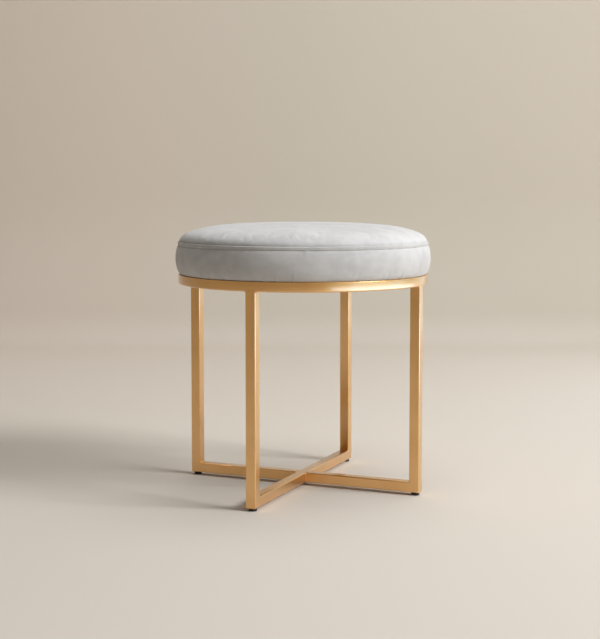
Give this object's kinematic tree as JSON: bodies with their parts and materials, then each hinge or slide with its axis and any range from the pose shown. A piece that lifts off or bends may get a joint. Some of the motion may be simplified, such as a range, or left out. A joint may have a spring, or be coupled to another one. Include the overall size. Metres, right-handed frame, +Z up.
{
  "type": "vanity stool",
  "caption": "Round vanity stool: boxed, welted velvet cushion on a slim gold ring, with square-tube legs joined by floor rails that cross in an X.",
  "frame": {"origin": "on the floor, under the centre of the seat", "axes": "+Z up. +Y runs along the through rail to the back leg, and +X along the two half rails to the right leg."},
  "size_m": [0.4494, 0.4494, 0.4674],
  "materials": {
    "gold_metal": "satin gold plating on steel",
    "velvet": "short-pile light grey velvet",
    "black_nylon": "satin black nylon",
    "plywood": "raw birch plywood",
    "dust_cloth": "black non-woven cloth",
    "zinc_steel": "bright zinc plating",
    "foam": "cut upholstery foam",
    "wadding": "polyester fibre"
  },
  "bodies": {
    "root": {"seat_ring": "gold_metal", "leg_right": "gold_metal", "leg_back": "gold_metal", "leg_left": "gold_metal", "leg_front": "gold_metal", "rail_front_back": "gold_metal", "rail_right": "gold_metal", "rail_left": "gold_metal", "lug_1": "gold_metal", "lug_2": "gold_metal", "lug_3": "gold_metal", "lug_4": "gold_metal", "glide_right": "black_nylon", "glide_back": "black_nylon", "glide_left": "black_nylon", "glide_front": "black_nylon", "seat_board": "plywood", "dust_cover": "dust_cloth", "seat_bolt_1": "zinc_steel", "seat_bolt_2": "zinc_steel", "seat_bolt_3": "zinc_steel", "seat_bolt_4": "zinc_steel", "washer_1": "zinc_steel", "washer_2": "zinc_steel", "washer_3": "zinc_steel", "washer_4": "zinc_steel", "tee_nut_1": "zinc_steel", "tee_nut_2": "zinc_steel", "tee_nut_3": "zinc_steel", "tee_nut_4": "zinc_steel", "foam_pad": "foam", "wadding": "wadding", "boxing_band": "velvet", "welt": "velvet", "top_panel": "velvet"}
  },
  "joints": []
}
